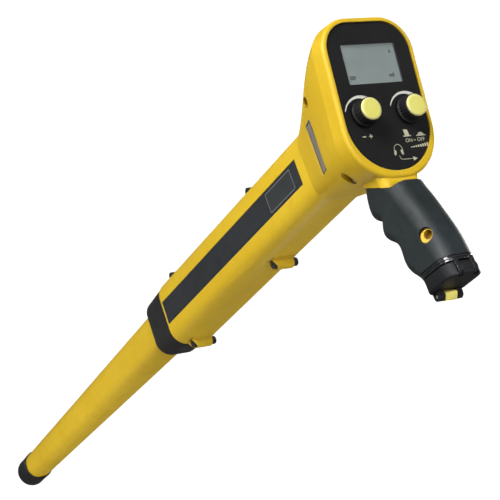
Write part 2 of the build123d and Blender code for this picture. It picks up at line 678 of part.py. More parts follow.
# ------------------------------------------------------------------ handle
with BuildPart() as core_room:      # the core with a little room around it
    extrude(outline(along_grip(-60), core_w + 0.1, core_front - 0.1, core_back + 0.1, core_r + 0.1, core_r + 0.1), amount=200)
    with BuildSketch(Plane.YZ.offset(-30)):
        with BuildLine():
            Polyline(*[on_grip(a, b - 0.15) for a, b in core_nose], close=True)
        make_face()
    extrude(amount=60, mode=Mode.SUBTRACT)


with BuildPart() as grip_sleeve:
    add(grip_form.part)
    add(head_side(0.15), mode=Mode.SUBTRACT)
    split(bisect_by=Plane.XZ.offset(-ring_y1 - 0.1), keep=Keep.BOTTOM)
    add(outer.part, mode=Mode.SUBTRACT)
    add(core_room.part, mode=Mode.SUBTRACT)
    extrude(disc(Plane.YZ, 6.2, handle_screw_at), amount=30, mode=Mode.SUBTRACT)
    extrude(disc(boss_plane.offset(-16.0), 7.3), amount=20, mode=Mode.SUBTRACT)
keep(grip_sleeve.part, "grip_sleeve")

hinge_at = (hinge_y, hinge_z)
knuckle, ear = 6.0, 10.6        # door knuckle, and outer end of the handle's two ears
with BuildPart() as ring_grooves:
    # the handle's outside there, less the same form 0.8 mm further in
    add(grip_form.part)
    split(bisect_by=Plane.XZ.offset(-ring_y1 - 1), keep=Keep.TOP)
    split(bisect_by=Plane.XZ.offset(-ring_y0 + 1), keep=Keep.BOTTOM)
    loft(sections=[outline(along_grip(s), w - 0.8, f + 0.8, b - 0.8, r - 0.8, r - 0.8) for s, w, f, b, r in grip_stations[9:]], mode=Mode.SUBTRACT)
    # only where the beads are not
    with BuildSketch(Plane.YZ.offset(-30)):
        for bead in ring_beads:
            with Locations((bead, 1030)):
                Rectangle(1.5, 120)
    extrude(amount=60, mode=Mode.SUBTRACT)

with BuildPart() as handle_ring:
    add(grip_form.part)
    split(bisect_by=Plane.XZ.offset(-ring_y1), keep=Keep.TOP)
    split(bisect_by=Plane.XZ.offset(-ring_y0), keep=Keep.BOTTOM)
    add(ring_grooves.part, mode=Mode.SUBTRACT)
    # two ears that reach back to the hinge
    for x in (knuckle + 0.3, -ear):
        with BuildSketch(Plane.YZ.offset(x)):
            with Locations(hinge_at):
                Circle(hinge_r)
            with Locations(((hinge_y + ring_y0) / 2 + 1.0, hinge_z - 0.9)):
                Rectangle(ring_y0 - hinge_y + 2.0, 2 * hinge_r - 1.8)
        extrude(amount=ear - knuckle - 0.3)
    extrude(disc(Plane.YZ.offset(-20), 1.5, hinge_at), amount=40, mode=Mode.SUBTRACT)
    add(core_room.part, mode=Mode.SUBTRACT)
keep(handle_ring.part, "handle_ring")

with BuildPart() as hinge_pin:
    extrude(disc(Plane.YZ.offset(-ear + 0.1), 1.5, hinge_at), amount=2 * ear - 0.2)
keep(hinge_pin.part, "hinge_pin")

lug_in, lug_out = 6.8, 13.0     # door lugs that carry the latch
with BuildPart() as battery_door:
    add(grip_form.part)
    split(bisect_by=Plane.XZ.offset(-door_y1), keep=Keep.TOP)
    split(bisect_by=Plane.XZ.offset(-door_y0), keep=Keep.BOTTOM)
    fillet(battery_door.faces().sort_by(Axis.Y)[0].edges(), 2.0)
    # its back edge clears the handle when it swings
    with BuildSketch(Plane.YZ.offset(-30)):
        with BuildLine():
            Polyline((door_y1 + 1, hinge_z + 0.5), (door_y1 + 1, hinge_z + 20), (hinge_y + 1.0, hinge_z + 20), (hinge_y + 1.0, hinge_z + 6.0), close=True)
        make_face()
    extrude(amount=60, mode=Mode.SUBTRACT)
    # slots for the ears
    for x in (knuckle, -ear - 0.4):
        with BuildSketch(Plane.YZ.offset(x)):
            with Locations(hinge_at):
                Circle(hinge_r + 0.5)
            with Locations((hinge_y, hinge_z + 10)):
                Rectangle(2 * (hinge_r + 2.0), 20 + 2 * hinge_r - 7.0)
            with Locations((hinge_y + 5, hinge_z + 5)):
                Rectangle(10, 10 + 2 * hinge_r + 1.0)
        extrude(amount=ear - knuckle + 0.4, mode=Mode.SUBTRACT)
    extrude(disc(Plane.YZ.offset(-knuckle), hinge_r, hinge_at), amount=2 * knuckle)
    # pocket for the contact
    extrude(slab(down(door_y1 + 1, 1034.0), 29, 31, r=8), amount=10.0, mode=Mode.SUBTRACT)
    # lugs for the latch
    for x in (lug_in, -lug_out):
        with BuildSketch(Plane.YZ.offset(x)):
            with Locations((latch_y, latch_z)):
                Circle(4.4)
            with Locations((latch_y + 3.2, latch_z)):
                Rectangle(6.4, 8.8)
        extrude(amount=lug_out - lug_in)
    extrude(disc(Plane.YZ.offset(-lug_in), 5.6, (latch_y, latch_z)), amount=2 * lug_in, mode=Mode.SUBTRACT)
    extrude(disc(Plane.YZ.offset(-20), 1.5, (latch_y, latch_z)), amount=40, mode=Mode.SUBTRACT)
    extrude(disc(Plane.YZ.offset(-knuckle), 1.57, hinge_at), amount=2 * knuckle, mode=Mode.SUBTRACT)
keep(battery_door.part, "battery_door")

with BuildPart() as door_seal:
    extrude(slab(down(door_y1 + 0.95, 1034.0), 33.6, 35.6, r=10.0), amount=0.8)
    extrude(slab(down(door_y1 + 0.95, 1034.0), 30.0, 32.0, r=8.5), amount=0.8, mode=Mode.SUBTRACT)
keep(door_seal.part, "door_seal")

with BuildPart() as latch:
    side = Plane(origin=(-6.4, latch_y, latch_z), x_dir=(0, cos(radians(36)), sin(radians(36))), z_dir=(1, 0, 0))
    extrude(slab(side, 8.4, 8.4, r=2.0), amount=12.8)
    extrude(disc(side, 1.57), amount=12.8, mode=Mode.SUBTRACT)
keep(latch.part, "latch")

with BuildPart() as latch_pin:
    extrude(disc(Plane.YZ.offset(-lug_out + 0.2), 1.5, (latch_y, latch_z)), amount=2 * lug_out - 0.4)
keep(latch_pin.part, "latch_pin")

cell_0 = -8.5
with BuildPart() as battery_cells:
    for i in range(2):
        s = cell_0 + i * cell_len
        extrude(disc(along_grip(s + 1.6), cell_r, (0, cell_e)), amount=cell_len - 1.8)
        extrude(disc(along_grip(s), 3.2, (0, cell_e)), amount=1.6)
keep(battery_cells.part, "battery_cells")

with BuildPart() as battery_contact:
    extrude(disc(along_grip(-10.6), 9.0, (0, cell_e)), amount=0.8)
    extrude(disc(along_grip(-9.8), 4.0, (0, cell_e)), amount=1.2)
keep(battery_contact.part, "battery_contact")

with BuildPart() as battery_leads:
    for x in (-1.9, 1.9):
        extrude(disc(along_grip(-44), 1.2, (x, lead_e)), amount=33.3)
keep(battery_leads.part, "battery_leads")

with BuildPart() as door_contact:
    with BuildSketch(Plane.YZ.offset(-4)):
        with BuildLine():
            Polyline((-173.2, 1044.0), (-173.2, 1021.0), (-155.9, 1028.2), (-156.3, 1029.0), (-172.5, 1022.3), (-172.6, 1044.0), close=True)
        make_face()
    extrude(amount=8)
keep(door_contact.part, "door_contact")
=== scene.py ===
import json
import math

import bmesh
import bpy
from mathutils import Matrix, Vector


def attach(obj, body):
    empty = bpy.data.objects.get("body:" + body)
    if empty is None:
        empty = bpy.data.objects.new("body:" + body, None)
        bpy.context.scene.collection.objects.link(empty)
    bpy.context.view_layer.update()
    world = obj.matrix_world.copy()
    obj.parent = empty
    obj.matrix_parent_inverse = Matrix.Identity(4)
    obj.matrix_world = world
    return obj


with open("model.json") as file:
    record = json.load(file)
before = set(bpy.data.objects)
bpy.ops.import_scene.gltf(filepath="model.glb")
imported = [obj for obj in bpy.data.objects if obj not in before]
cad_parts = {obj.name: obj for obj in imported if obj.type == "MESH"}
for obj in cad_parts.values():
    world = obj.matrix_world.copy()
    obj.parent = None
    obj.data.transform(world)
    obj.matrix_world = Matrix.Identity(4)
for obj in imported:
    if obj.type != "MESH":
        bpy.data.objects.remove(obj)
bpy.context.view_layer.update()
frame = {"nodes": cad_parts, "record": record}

scene = bpy.context.scene
nodes = frame["nodes"]

# ------------------------------------------------------------------ camera
right = Vector((0.85173, -0.31208, 0.42090))
up = Vector((0.11394, 0.89438, 0.43256))
ahead = Vector((0.51144, 0.32046, -0.79733))
eye = Vector((-0.8185, -0.5162, 2.0304))
cam_data = bpy.data.cameras.new("camera")
cam = bpy.data.objects.new("camera", cam_data)
scene.collection.objects.link(cam)
m = Matrix((
    (right.x, up.x, -ahead.x, eye.x),
    (right.y, up.y, -ahead.y, eye.y),
    (right.z, up.z, -ahead.z, eye.z),
    (0, 0, 0, 1),
))
cam.matrix_world = m
cam_data.sensor_fit = "HORIZONTAL"
cam_data.sensor_width = 36.0
cam_data.lens = 109.446
cam_data.clip_start = 0.05
cam_data.clip_end = 30
scene.camera = cam

# ------------------------------------------------------------------ node helpers
class Tree:
    def __init__(self, name):
        self.mat = bpy.data.materials.new(name)
        self.mat.use_nodes = True
        self.nt = self.mat.node_tree
        self.bsdf = next(n for n in self.nt.nodes if n.type == "BSDF_PRINCIPLED")
        self.out = next(n for n in self.nt.nodes if n.type == "OUTPUT_MATERIAL")
        self.coord = self.add("ShaderNodeTexCoord")

    def add(self, kind, **props):
        n = self.nt.nodes.new(kind)
        for k, v in props.items():
            setattr(n, k, v)
        return n

    def link(self, a, b):
        self.nt.links.new(a, b)

    def stretched(self, sx, sy, sz):
        mp = self.add("ShaderNodeMapping")
        mp.inputs["Scale"].default_value = (sx, sy, sz)
        self.link(self.coord.outputs["Object"], mp.inputs["Vector"])
        return mp.outputs["Vector"]

    def noise(self, scale, detail=3.0, rough=0.55, vector=None, distortion=0.0):
        n = self.add("ShaderNodeTexNoise")
        n.inputs["Scale"].default_value = scale
        n.inputs["Detail"].default_value = detail
        n.inputs["Roughness"].default_value = rough
        n.inputs["Distortion"].default_value = distortion
        self.link(vector or self.coord.outputs["Object"], n.inputs["Vector"])
        return n.outputs["Fac"]

    def ramp(self, fac, a, b, lo=0.0, hi=1.0):
        r = self.add("ShaderNodeMapRange")
        r.inputs["From Min"].default_value = a
        r.inputs["From Max"].default_value = b
        r.inputs["To Min"].default_value = lo
        r.inputs["To Max"].default_value = hi
        self.link(fac, r.inputs["Value"])
        return r.outputs["Result"]

    def mix(self, fac, a, b, blend="MIX"):
        n = self.add("ShaderNodeMix", data_type="RGBA", blend_type=blend)
        n.inputs["Factor"].default_value = 1.0
        if isinstance(fac, (int, float)):
            n.inputs["Factor"].default_value = fac
        else:
            self.link(fac, n.inputs["Factor"])
        for sock, val in ((n.inputs[6], a), (n.inputs[7], b)):
            if isinstance(val, (tuple, list)):
                sock.default_value = (*val[:3], 1.0)
            else:
                self.link(val, sock)
        return n.outputs[2]

    def math(self, op, a, b=0.5):
        n = self.add("ShaderNodeMath", operation=op)
        for sock, val in ((n.inputs[0], a), (n.inputs[1], b)):
            if isinstance(val, (int, float)):
                sock.default_value = val
            else:
                self.link(val, sock)
        return n.outputs[0]

    def edges(self, radius):
        """0 on flat faces, rising to 1 along sharp edges."""
        bevel = self.add("ShaderNodeBevel", samples=6)
        bevel.inputs["Radius"].default_value = radius
        geo = self.add("ShaderNodeNewGeometry")
        dot = self.add("ShaderNodeVectorMath", operation="DOT_PRODUCT")
        self.link(bevel.outputs["Normal"], dot.inputs[0])
        self.link(geo.outputs["Normal"], dot.inputs[1])
        return self.ramp(dot.outputs["Value"], 0.995, 0.86), bevel.outputs["Normal"]

    def painted_shade_mask(self, distance):
        """Painted shade mask: 1 in the open, falling to 0 in corners and recesses."""
        ao = self.add("ShaderNodeAmbientOcclusion", samples=6)
        ao.inputs["Distance"].default_value = distance
        return ao.outputs["AO"]

    def bump(self, height, strength, distance, normal=None):
        b = self.add("ShaderNodeBump")
        b.inputs["Strength"].default_value = strength
        b.inputs["Distance"].default_value = distance
        self.link(height, b.inputs["Height"])
        if normal is not None:
            self.link(normal, b.inputs["Normal"])
        return b.outputs["Normal"]

    def finish(self, color=None, rough=None, normal=None):
        if color is not None:
            self.link(color, self.bsdf.inputs["Base Color"])
        if rough is not None:
            self.link(rough, self.bsdf.inputs["Roughness"])
        if normal is not None:
            self.link(normal, self.bsdf.inputs["Normal"])
        return self.mat


def moulded(name, base, light, dark, rough=(0.34, 0.46), grain=700.0, grain_strength=0.12, edge=0.0009, spec=0.5, coat=0.0, painted_shade_distance=0.010, painted_shade_color=None, blotch=9.0, edge_highlight=None, edge_highlight_range=(0.25, 0.65)):
    """Injection-moulded plastic: fine spark-eroded grain, faint flow blotches, edge wear lightening the edges (a
    painted highlight there when an edge-highlight colour is given), painted shade darkening the corners and recesses.
    """
    t = Tree(name)
    big = t.noise(blotch, 4.0, 0.6)
    fine = t.noise(grain, 2.0, 0.6)
    mid = t.noise(60.0, 3.0, 0.6)
    c = t.mix(t.ramp(big, 0.35, 0.7), base, light)
    c = t.mix(t.ramp(mid, 0.55, 0.8, 0.0, 0.35), c, dark)
    edge_mask, round_normal = t.edges(edge)
    # Lightens sharp edges: edge wear by default; with an edge-highlight colour given, a painted highlight along the
    # edges.
    wear_and_highlight = t.ramp(mid, 0.3, 0.7, edge_highlight_range[0], edge_highlight_range[1]) if edge_highlight else t.ramp(mid, 0.3, 0.7, 0.15, 0.6)
    c = t.mix(t.math("MULTIPLY", edge_mask, wear_and_highlight), c, edge_highlight or light)
    # Painted shade: corners and recesses darkened towards the recess colour by ambient occlusion.
    shade = t.ramp(t.painted_shade_mask(painted_shade_distance), 0.15, 0.85)
    c = t.mix(shade, painted_shade_color or dark, c)
    r = t.ramp(t.math("ADD", t.math("MULTIPLY", mid, 0.7), t.math("MULTIPLY", fine, 0.3)), 0.3, 0.7, rough[0], rough[1])
    nrm = t.bump(fine, grain_strength, 0.0004, round_normal)
    t.bsdf.inputs["Specular IOR Level"].default_value = spec
    t.bsdf.inputs["Coat Weight"].default_value = coat
    return t.finish(c, r, nrm)


def rubber(name, base, light, dark, rough=(0.5, 0.68), grain=1100.0, strength=0.25, sheen=0.0, spec=0.35):
    t = Tree(name)
    big = t.noise(14.0, 4.0, 0.6)
    fine = t.noise(grain, 3.0, 0.65)
    mid = t.noise(90.0, 3.0, 0.6)
    c = t.mix(t.ramp(big, 0.35, 0.7), base, light)
    c = t.mix(t.ramp(mid, 0.5, 0.8, 0.0, 0.5), c, dark)
    edge_mask, round_normal = t.edges(0.0009)
    c = t.mix(t.math("MULTIPLY", edge_mask, 0.4), c, light)
    # Painted shade: corners and recesses darkened towards the dark colour by ambient occlusion.
    c = t.mix(t.ramp(t.painted_shade_mask(0.006), 0.1, 0.8), dark, c)
    r = t.ramp(mid, 0.3, 0.7, rough[0], rough[1])
    nrm = t.bump(fine, strength, 0.0003, round_normal)
    t.bsdf.inputs["Specular IOR Level"].default_value = spec
    t.bsdf.inputs["Sheen Weight"].default_value = sheen
    t.bsdf.inputs["Sheen Roughness"].default_value = 0.4
    return t.finish(c, r, nrm)


def metal(name, base, light, rough=(0.28, 0.45), brushed=(40.0, 40.0, 900.0), strength=0.08, dark=None, metallic=1.0):
    t = Tree(name)
    lines = t.noise(1.0, 4.0, 0.6, t.stretched(*brushed))
    mid = t.noise(120.0, 3.0, 0.6)
    c = t.mix(t.ramp(lines, 0.3, 0.7), base, light)
    c = t.mix(t.ramp(mid, 0.6, 0.85, 0.0, 0.5), c, dark or tuple(0.45 * x for x in base))
    edge_mask, round_normal = t.edges(0.0006)
    c = t.mix(t.math("MULTIPLY", edge_mask, 0.5), c, light)
    t.bsdf.inputs["Metallic"].default_value = metallic
    return t.finish(c, t.ramp(lines, 0.3, 0.7, rough[0], rough[1]), t.bump(lines, strength, 0.0002, round_normal))


def board(name, base, light):
    """Solder-masked circuit board with faint tracks and pads."""
    t = Tree(name)
    v = t.add("ShaderNodeTexVoronoi", feature="DISTANCE_TO_EDGE")
    v.inputs["Scale"].default_value = 240.0
    t.link(t.coord.outputs["Object"], v.inputs["Vector"])
    tracks = t.ramp(v.outputs["Distance"], 0.03, 0.07)
    c = t.mix(tracks, light, base)
    c = t.mix(t.ramp(t.noise(30.0), 0.4, 0.7, 0.0, 0.5), c, tuple(0.6 * x for x in base))
    return t.finish(c, t.ramp(t.noise(80.0), 0.3, 0.7, 0.3, 0.5), t.bump(tracks, 0.15, 0.0003))


YELLOW = (0.72, 0.46, 0.016)
# Each material's dark recess colour below is painted shade for its corners and recesses.
make = {
    # shell_yellow: the pale edge colour is a painted highlight along its sharp edges.
    "shell_yellow": lambda: moulded("shell_yellow", YELLOW, (0.77, 0.52, 0.026), (0.60, 0.36, 0.010), (0.33, 0.45), edge=0.0011, painted_shade_color=(0.26, 0.12, 0.006), spec=0.4, edge_highlight=(0.84, 0.68, 0.20)),
    "wand_yellow": lambda: moulded("wand_yellow", (0.68, 0.44, 0.018), (0.74, 0.50, 0.03), (0.56, 0.34, 0.012), (0.36, 0.5), painted_shade_color=(0.28, 0.17, 0.01), blotch=14.0, spec=0.4),
    "black_plastic": lambda: moulded("black_plastic", (0.0105, 0.0108, 0.0115), (0.020, 0.021, 0.023), (0.006, 0.006, 0.007), (0.42, 0.58), painted_shade_color=(0.003, 0.003, 0.003), spec=0.22),
    "collar_black": lambda: moulded("collar_black", (0.018, 0.0188, 0.0170), (0.030, 0.031, 0.030), (0.010, 0.010, 0.009), (0.36, 0.5), painted_shade_color=(0.005, 0.005, 0.005), spec=0.35),
    "panel_black": lambda: moulded("panel_black", (0.0105, 0.0108, 0.0112), (0.016, 0.016, 0.017), (0.007, 0.007, 0.007), (0.46, 0.6), 900.0, 0.18, painted_shade_color=(0.004, 0.004, 0.004), spec=0.25),
    "strip_black": lambda: moulded("strip_black", (0.024, 0.027, 0.030), (0.034, 0.037, 0.041), (0.015, 0.017, 0.019), (0.5, 0.64), 900.0, 0.2, painted_shade_color=(0.008, 0.008, 0.009), spec=0.25),
    "patch_grey": lambda: moulded("patch_grey", (0.030, 0.034, 0.037), (0.042, 0.046, 0.049), (0.024, 0.027, 0.030), (0.4, 0.55), 900.0, 0.15, painted_shade_color=(0.015, 0.015, 0.015), spec=0.3),
    "grip_rubber": lambda: rubber("grip_rubber", (0.0122, 0.0175, 0.0190), (0.0225, 0.0300, 0.0328), (0.0062, 0.0085, 0.0095), (0.50, 0.62), sheen=0.02, spec=0.5),
    "tip_rubber": lambda: rubber("tip_rubber", (0.012, 0.0116, 0.0112), (0.030, 0.029, 0.029), (0.006, 0.006, 0.006), (0.34, 0.48), spec=0.4),
    "seal_rubber": lambda: rubber("seal_rubber", (0.025, 0.025, 0.026), (0.04, 0.04, 0.042), (0.012, 0.012, 0.012)),
    # cap_yellow: the wide pale edge colour paints a highlight ring round each cap's rim.
    "cap_yellow": lambda: moulded("cap_yellow", (0.77, 0.72, 0.15), (0.82, 0.77, 0.22), (0.68, 0.62, 0.10), (0.38, 0.5), 800.0, 0.08, edge=0.0036, edge_highlight=(0.87, 0.85, 0.55), edge_highlight_range=(0.85, 1.0), painted_shade_color=(0.42, 0.36, 0.06), painted_shade_distance=0.003, spec=0.4),
    # latch_yellow: base colour set brighter than the yellow itself, painted light on the latch's lit face.
    "latch_yellow": lambda: moulded("latch_yellow", (0.92, 0.80, 0.17), (0.95, 0.84, 0.26), (0.62, 0.46, 0.06), (0.36, 0.5), 800.0, 0.1, painted_shade_color=(0.35, 0.24, 0.03), painted_shade_distance=0.004),
    "ring_gloss": lambda: moulded("ring_gloss", (0.010, 0.0105, 0.011), (0.024, 0.025, 0.027), (0.006, 0.006, 0.006), (0.13, 0.22), 500.0, 0.03, painted_shade_color=(0.003, 0.003, 0.003), spec=0.9, coat=0.4, painted_shade_distance=0.003),
    "plate_silver": lambda: metal("plate_silver", (0.30, 0.255, 0.24), (0.40, 0.35, 0.33), (0.34, 0.48), (900.0, 30.0, 900.0), 0.1, metallic=0.35),
    "steel": lambda: metal("steel", (0.50, 0.49, 0.48), (0.66, 0.65, 0.64), metallic=0.75),
    "black_steel": lambda: metal("black_steel", (0.020, 0.019, 0.019), (0.06, 0.06, 0.06), (0.25, 0.4), metallic=0.3),
    "brass": lambda: metal("brass", (0.66, 0.46, 0.17), (0.78, 0.58, 0.26)),
    "coil_copper": lambda: metal("coil_copper", (0.55, 0.24, 0.10), (0.72, 0.36, 0.17), (0.3, 0.45), (20.0, 20.0, 4000.0), 0.5),
    "board_green": lambda: board("board_green", (0.02, 0.12, 0.05), (0.06, 0.24, 0.10)),
    "chip_black": lambda: moulded("chip_black", (0.02, 0.02, 0.021), (0.035, 0.035, 0.036), (0.01, 0.01, 0.01), (0.5, 0.65)),
    "inner_white": lambda: moulded("inner_white", (0.62, 0.61, 0.56), (0.70, 0.69, 0.65), (0.5, 0.49, 0.44), (0.5, 0.65)),
    "cell_wrap": lambda: moulded("cell_wrap", (0.06, 0.08, 0.16), (0.09, 0.11, 0.20), (0.03, 0.04, 0.09), (0.25, 0.35)),
    "lead_red": lambda: rubber("lead_red", (0.40, 0.03, 0.03), (0.5, 0.06, 0.05), (0.25, 0.02, 0.02)),
}


def lcd_material():
    """Reflective liquid-crystal glass: grey-green with a faint dot grid."""
    t = Tree("lcd_grey")
    v = t.stretched(1, 1, 1)
    grid_x = t.add("ShaderNodeTexWave", wave_type="BANDS", bands_direction="X")
    grid_x.inputs["Scale"].default_value = 260.0
    grid_y = t.add("ShaderNodeTexWave", wave_type="BANDS", bands_direction="Y")
    grid_y.inputs["Scale"].default_value = 260.0
    t.link(v, grid_x.inputs["Vector"])
    t.link(v, grid_y.inputs["Vector"])
    dots = t.math("MULTIPLY", grid_x.outputs["Fac"], grid_y.outputs["Fac"])
    c = t.mix(t.ramp(dots, 0.0, 1.0, 0.0, 0.35), (0.148, 0.191, 0.188), (0.172, 0.219, 0.214))
    c = t.mix(t.ramp(t.noise(25.0), 0.35, 0.7), c, (0.193, 0.238, 0.233))
    return t.finish(c, t.ramp(t.noise(70.0), 0.3, 0.7, 0.3, 0.42), t.bump(dots, 0.05, 0.0002))


def window_material():
    """Clear scratch-resistant window over the display."""
    t = Tree("window_clear")
    smear = t.noise(45.0, 4.0, 0.6)
    t.bsdf.inputs["Base Color"].default_value = (0.9, 0.95, 0.94, 1)
    t.bsdf.inputs["Alpha"].default_value = 0.06
    t.bsdf.inputs["IOR"].default_value = 1.49
    return t.finish(None, t.ramp(smear, 0.35, 0.7, 0.06, 0.2), t.bump(smear, 0.03, 0.0002))


make["lcd_grey"] = lcd_material
make["window_clear"] = window_material
mats = {k: f() for k, f in make.items()}

for sp in frame["record"]["subparts"]:
    o = nodes[sp["node"]]
    o.data.materials.clear()
    o.data.materials.append(mats[sp["material_slot"]])

# ------------------------------------------------------------------ print on the panel
tilt = math.radians(10.55)
tn, tc = math.sin(tilt), math.cos(tilt)
lcd = Vector((0.0, 0.0432, 1.0485))


def on_panel(u, v, n):
    """Row-frame point from millimetres on the panel: right, up, above the display."""
    return lcd + Vector((u, tc * v - tn * n, tn * v + tc * n)) * 0.001


def ink(name, base, light):
    """Screen-printed ink: slightly uneven cover, matt."""
    t = Tree(name)
    cover = t.noise(420.0, 4.0, 0.65)
    c = t.mix(t.ramp(cover, 0.4, 0.7), base, light)
    return t.finish(c, t.ramp(t.noise(150.0), 0.3, 0.7, 0.45, 0.6), t.bump(cover, 0.08, 0.0002))


mats["ink_cream"] = ink("ink_cream", (0.50, 0.48, 0.33), (0.60, 0.58, 0.44))
mats["ink_white"] = ink("ink_white", (0.62, 0.62, 0.55), (0.74, 0.74, 0.68))
mats["ink_dark"] = ink("ink_dark", (0.022, 0.028, 0.028), (0.036, 0.043, 0.043))
mats["ink_grey_light"] = ink("ink_grey_light", (0.20, 0.21, 0.22), (0.28, 0.29, 0.30))


def add_piece(name, bm, material, body="housing"):
    mesh = bpy.data.meshes.new(name)
    bmesh.ops.recalc_face_normals(bm, faces=bm.faces)
    bm.to_mesh(mesh)
    bm.free()
    o = bpy.data.objects.new(name, mesh)
    scene.collection.objects.link(o)
    mesh.materials.append(material)
    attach(o, body)
    return o


def slab_from(bm, outline, place, n0, n1):
    """Closed thin solid from a flat outline [(u, v)], between heights n0 and n1."""
    low = [bm.verts.new(place(u, v, n0)) for u, v in outline]
    high = [bm.verts.new(place(u, v, n1)) for u, v in outline]
    bm.faces.new(high)
    bm.faces.new(low[::-1])
    k = len(outline)
    for i in range(k):
        j = (i + 1) % k
        bm.faces.new((low[i], low[j], high[j], high[i]))


def rect(u, v, w, h):
    return [(u - w / 2, v - h / 2), (u + w / 2, v - h / 2), (u + w / 2, v + h / 2), (u - w / 2, v + h / 2)]


def stroke(points, width):
    """Outline of a polyline drawn with that width."""
    left, rightside = [], []
    k = len(points)
    for i, (x, y) in enumerate(points):
        x0, y0 = points[max(i - 1, 0)]
        x1, y1 = points[min(i + 1, k - 1)]
        dx, dy = x1 - x0, y1 - y0
        d = math.hypot(dx, dy) or 1.0
        w = width[i] if isinstance(width, (list, tuple)) else width
        left.append((x - dy / d * w / 2, y + dx / d * w / 2))
        rightside.append((x + dy / d * w / 2, y - dx / d * w / 2))
    return left + rightside[::-1]


FACE = 2.4
INK0, INK1 = FACE - 0.02, FACE + 0.05


def wedge(u0, v0, a0, a1, r_out, t0, t1, steps=40):
    """Crescent that grows from t0 to t1 wide around a knob."""
    outer, inner = [], []
    for i in range(steps + 1):
        f = i / steps
        a = math.radians(a0 + (a1 - a0) * f)
        outer.append((u0 + r_out * math.cos(a), v0 + r_out * math.sin(a)))
        ri = r_out - (t0 + (t1 - t0) * f)
        inner.append((u0 + ri * math.cos(a), v0 + ri * math.sin(a)))
    return outer + inner[::-1]


bm = bmesh.new()
for u0, v0, a0, a1 in ((-23.2, -49.6, 163, 56), (26.8, -48.5, 159, 52)):
    slab_from(bm, wedge(u0, v0, a0, a1, 20.0, 0.8, 3.6), on_panel, INK0, INK1)
add_piece("print_wedges", bm, mats["ink_white"])


def text_piece(name, words, u, v, size, material, n0=INK0, n1=INK1):
    cu = bpy.data.curves.new(name, "FONT")
    cu.body = words
    cu.size = size * 0.001
    cu.align_x = "CENTER"
    cu.align_y = "CENTER"
    cu.resolution_u = 3
    cu.extrude = (n1 - n0) * 0.0005
    tmp = bpy.data.objects.new(name + "_tmp", cu)
    scene.collection.objects.link(tmp)
    bpy.context.view_layer.update()
    mesh = bpy.data.meshes.new_from_object(tmp.evaluated_get(bpy.context.evaluated_depsgraph_get()))
    bpy.data.objects.remove(tmp)
    mesh.name = name
    o = on_panel(u, v, (n0 + n1) / 2)
    ex, ey, ez = Vector((1, 0, 0)), Vector((0, tc, tn)), Vector((0, -tn, tc))
    mesh.transform(Matrix(((ex.x, ey.x, ez.x, o.x), (ex.y, ey.y, ez.y, o.y), (ex.z, ey.z, ez.z, o.z), (0, 0, 0, 1))))
    mesh.materials.clear()
    mesh.materials.append(material)
    ob = bpy.data.objects.new(name, mesh)
    scene.collection.objects.link(ob)
    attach(ob, "housing")
    return ob


text_piece("print_on", "ON", 18.9, -75.6, 5.0, mats["ink_cream"])
text_piece("print_off", "OFF", 32.6, -75.5, 5.0, mats["ink_cream"])

# push-state pictures: a knob out and a knob in
bm = bmesh.new()
slab_from(bm, rect(18.2, -71.2, 8.4, 1.1), on_panel, INK0, INK1)
slab_from(bm, [(15.2, -64.9), (19.6, -65.2), (20.8, -70.75), (16.0, -70.75)], on_panel, INK0, INK1 - 0.01)
slab_from(bm, rect(33.6, -71.6, 10.6, 1.0), on_panel, INK0, INK1)
bump = [(33.6 + 3.4 * math.cos(math.radians(a)), -71.2 + 2.7 * math.sin(math.radians(a))) for a in range(0, 181, 12)]
slab_from(bm, bump, on_panel, INK0, INK1 - 0.01)
# dash between the two words
slab_from(bm, rect(25.3, -75.6, 2.2, 0.8), on_panel, INK0, INK1)
# rising bars under them
for i in range(8):
    h = 0.9 + 0.36 * i
    slab_from(bm, rect(20.2 + 2.6 * i, -82.4 + h / 2, 1.7, h), on_panel, INK0, INK1)
# minus and plus under the left knob
slab_from(bm, rect(-28.6, -68.5, 3.8, 1.0), on_panel, INK0, INK1)
slab_from(bm, rect(-21.4, -68.5, 3.8, 1.0), on_panel, INK0, INK1)
slab_from(bm, rect(-21.4, -68.5, 1.0, 3.8), on_panel, INK0, INK1 - 0.01)
add_piece("print_marks", bm, mats["ink_cream"])

# headphone picture and the arrow to the socket side
bm = bmesh.new()
arc = [(4.6 + 4.7 * math.cos(math.radians(a)), -84.0 + 5.8 * math.sin(math.radians(a))) for a in range(200, -21, -10)]
slab_from(bm, stroke(arc, 0.55), on_panel, INK0, INK1)
for cu, lean in ((0.5, -14), (8.2, 14)):
    ca, sa = math.cos(math.radians(lean)), math.sin(math.radians(lean))
    pad = []
    for a in range(0, 360, 15):
        x, y = 1.25 * math.cos(math.radians(a)), 2.6 * math.sin(math.radians(a))
        pad.append((cu + ca * x - sa * y, -85.8 + sa * x + ca * y))
    slab_from(bm, pad, on_panel, INK0, INK1 - 0.01)
lead = [(4.3, -89.0), (4.5, -90.6), (5.1, -91.8), (6.4, -92.4), (9.6, -92.6), (14.2, -92.6), (19.4, -92.7)]
slab_from(bm, stroke(lead, 0.5), on_panel, INK0, INK1)
slab_from(bm, [(18.8, -90.7), (23.4, -92.8), (18.8, -94.8)], on_panel, INK0, INK1 - 0.01)
add_piece("print_headphones", bm, mats["ink_cream"])

# segments on the display
bm = bmesh.new()
for u, v, w, h in ((-23.4, -12.3, 5.2, 3.9), (-20.1, -11.8, 1.4, 2.2), (19.8, -11.9, 4.2, 2.7), (22.8, -11.4, 1.8, 3.7), (24.6, 11.2, 2.2, 3.0)):
    slab_from(bm, rect(u, v, w, h), on_panel, -0.01, 0.05)
add_piece("display_segments", bm, mats["ink_dark"])


# frame line on the patch of the left strip
def on_left(y, z, n):
    return Vector((-(28.35 + n), y, z)) * 0.001


